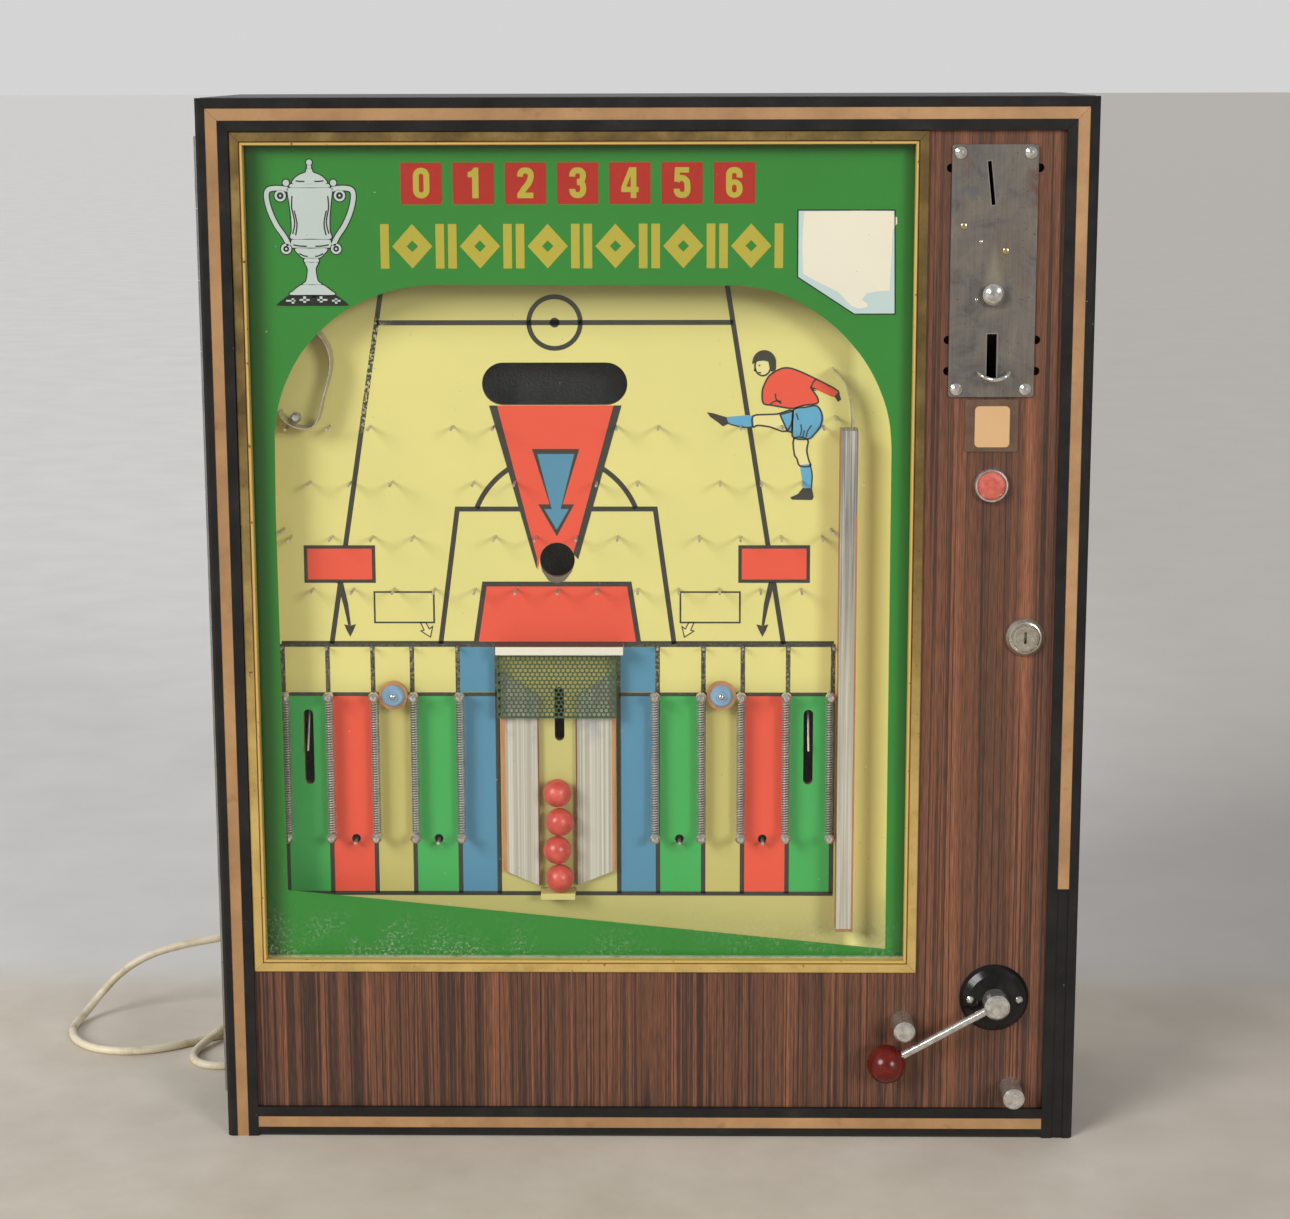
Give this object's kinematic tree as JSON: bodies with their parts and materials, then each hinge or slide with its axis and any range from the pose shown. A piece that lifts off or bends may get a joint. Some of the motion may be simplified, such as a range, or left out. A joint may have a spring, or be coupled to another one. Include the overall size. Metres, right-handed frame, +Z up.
{
  "type": "wall football game",
  "caption": "Wall-hung coin game: a case with a hinged full-width door carrying a glazed pin-and-spring football playfield, coin plate, lock, start button and kicking lever.",
  "frame": {"origin": "middle of the bottom edge, at the front face of the door panel", "axes": "+X to the player's right, +Y from the door to the wall, +Z up"},
  "size_m": [0.786, 0.3421, 0.752],
  "materials": {
    "black_board": "black painted chipboard",
    "hardboard": "plain brown hardboard",
    "walnut_laminate": "walnut-grain laminate",
    "black_edging": "satin black moulding",
    "copper_strip": "finely ribbed copper-coloured insert",
    "gold_frame": "brass-anodised section",
    "window_glass": "clear sheet printed green round its edge",
    "field_board": "painted playfield",
    "plain_softwood": "plain softwood",
    "steel_pin": "bright steel",
    "chrome_fittings": "chrome plate",
    "worn_chrome": "worn chrome plate",
    "copper_ring": "copper plated",
    "blue_plastic": "blue gloss",
    "white_paint": "white enamel",
    "green_net": "perforated sheet painted green",
    "fluted_white": "white fluted strip",
    "red_ball": "red gloss",
    "rail_wood": "plain hardwood",
    "rail_metal": "satin aluminium",
    "black_box": "black moulding",
    "coin_steel": "aged stainless plate",
    "zinc_steel": "zinc plated",
    "brown_label": "brown plate with a cream card",
    "bronze_bush": "sintered bronze",
    "dark_red_knob": "polished dark red",
    "cream_lead": "cream sheath",
    "cream_plug": "cream moulding"
  },
  "bodies": {
    "case": {"case_boards": "black_board", "back_panel": "hardboard", "cash_box": "zinc_steel", "transformer": "zinc_steel", "cable_gland": "cream_lead", "power_cord": "cream_lead", "cord_coil": "cream_lead", "mains_plug": "cream_plug", "hinge_case_leaf": "zinc_steel", "lock_strike": "zinc_steel"},
    "door": {"hinge_door_leaf": "zinc_steel", "door_panel": "walnut_laminate", "edge_moulding": "black_edging", "copper_inlay": "copper_strip", "window_frame": "gold_frame", "glass_pane": "window_glass", "playfield_board": "field_board", "playfield_surround": "plain_softwood", "score_lamp_board": "white_paint", "playfield_pins": "steel_pin", "spring_posts": "chrome_fittings", "lane_springs": "steel_pin", "bumper_rings": "copper_ring", "bumper_caps": "blue_plastic", "goal_crossbar": "white_paint", "goal_net": "green_net", "goal_ramps": "fluted_white", "lane_rail": "rail_wood", "lane_rail_cap": "rail_metal", "spring_strips": "steel_pin", "drain_box": "black_box", "switch_bodies": "black_box", "coin_plate": "coin_steel", "coin_mech": "zinc_steel", "return_guard": "steel_pin", "panel_screws": "chrome_fittings", "label_plate": "brown_label", "start_bezel": "chrome_fittings", "lock_body": "chrome_fittings", "lever_rosette": "worn_chrome", "lever_bearing": "bronze_bush", "stop_pegs": "chrome_fittings"},
    "lever": {"lever_shaft": "chrome_fittings", "lever_rod": "chrome_fittings", "lever_knob": "dark_red_knob", "kicker_arm": "zinc_steel"},
    "lock_barrel": {"lock_plug": "worn_chrome"},
    "start_push": {"start_button": "red_ball"},
    "reject_push": {"reject_button": "chrome_fittings"},
    "gate": {"ball_gate": "zinc_steel"},
    "ball_1_body": {"ball_1": "red_ball"},
    "switch_1": {"switch_pin_1": "steel_pin"},
    "ball_2_body": {"ball_2": "red_ball"},
    "switch_2": {"switch_pin_2": "steel_pin"},
    "ball_3_body": {"ball_3": "red_ball"},
    "switch_3": {"switch_pin_3": "steel_pin"},
    "ball_4_body": {"ball_4": "red_ball"},
    "switch_4": {"switch_pin_4": "steel_pin"},
    "wire_left": {"slot_wire_left": "steel_pin"},
    "wire_right": {"slot_wire_right": "steel_pin"}
  },
  "joints": [
    {"name": "door_hinge", "type": "hinge", "parent": "case", "child": "door", "pos_m": [-0.3127, 0.021, 0.376], "axis": [0, 0, -1], "range_deg": [0, 110]},
    {"name": "lever_turn", "type": "hinge", "parent": "door", "child": "lever", "pos_m": [0.251, 0, 0.1072], "axis": [0, -1, 0], "range_deg": [-5, 62], "stiffness_Nm_per_rad": 1.6},
    {"name": "lock_turn", "type": "hinge", "parent": "door", "child": "lock_barrel", "pos_m": [0.267, 0, 0.3751], "axis": [0, -1, 0], "range_deg": [0, 90]},
    {"name": "start_press", "type": "slide", "parent": "door", "child": "start_push", "axis": [0, 1, 0], "range_m": [0, 0.003], "stiffness_N_per_m": 400, "springref_m": -0.003},
    {"name": "reject_press", "type": "slide", "parent": "door", "child": "reject_push", "axis": [0, 1, 0], "range_m": [0, 0.004], "stiffness_N_per_m": 300, "springref_m": -0.003},
    {"name": "gate_slide", "type": "slide", "parent": "door", "child": "gate", "axis": [0, 1, 0], "range_m": [0, 0.024], "stiffness_N_per_m": 80, "springref_m": -0.006},
    {"name": "ball_1_lift", "type": "slide", "parent": "door", "child": "ball_1_body", "axis": [0, 0, 1], "range_m": [0, 0.01]},
    {"name": "ball_2_lift", "type": "slide", "parent": "ball_1_body", "child": "ball_2_body", "axis": [0, 0, 1], "range_m": [0, 0.01]},
    {"name": "ball_3_lift", "type": "slide", "parent": "ball_2_body", "child": "ball_3_body", "axis": [0, 0, 1], "range_m": [0, 0.01]},
    {"name": "ball_4_lift", "type": "slide", "parent": "ball_3_body", "child": "ball_4_body", "axis": [0, 0, 1], "range_m": [0, 0.01]},
    {"name": "switch_1_press", "type": "slide", "parent": "door", "child": "switch_1", "axis": [0, 1, 0], "range_m": [0, 0.003], "stiffness_N_per_m": 60, "springref_m": -0.002},
    {"name": "switch_2_press", "type": "slide", "parent": "door", "child": "switch_2", "axis": [0, 1, 0], "range_m": [0, 0.003], "stiffness_N_per_m": 60, "springref_m": -0.002},
    {"name": "switch_3_press", "type": "slide", "parent": "door", "child": "switch_3", "axis": [0, 1, 0], "range_m": [0, 0.003], "stiffness_N_per_m": 60, "springref_m": -0.002},
    {"name": "switch_4_press", "type": "slide", "parent": "door", "child": "switch_4", "axis": [0, 1, 0], "range_m": [0, 0.003], "stiffness_N_per_m": 60, "springref_m": -0.002},
    {"name": "wire_left_swing", "type": "hinge", "parent": "door", "child": "wire_left", "pos_m": [-0.248, 0.047, 0.319], "axis": [1, 0, 0], "range_deg": [0, 20], "stiffness_Nm_per_rad": 0.004, "springref_deg": -11.46},
    {"name": "wire_right_swing", "type": "hinge", "parent": "door", "child": "wire_right", "pos_m": [0.116, 0.047, 0.319], "axis": [1, 0, 0], "range_deg": [0, 20], "stiffness_Nm_per_rad": 0.004, "springref_deg": -11.46}
  ]
}
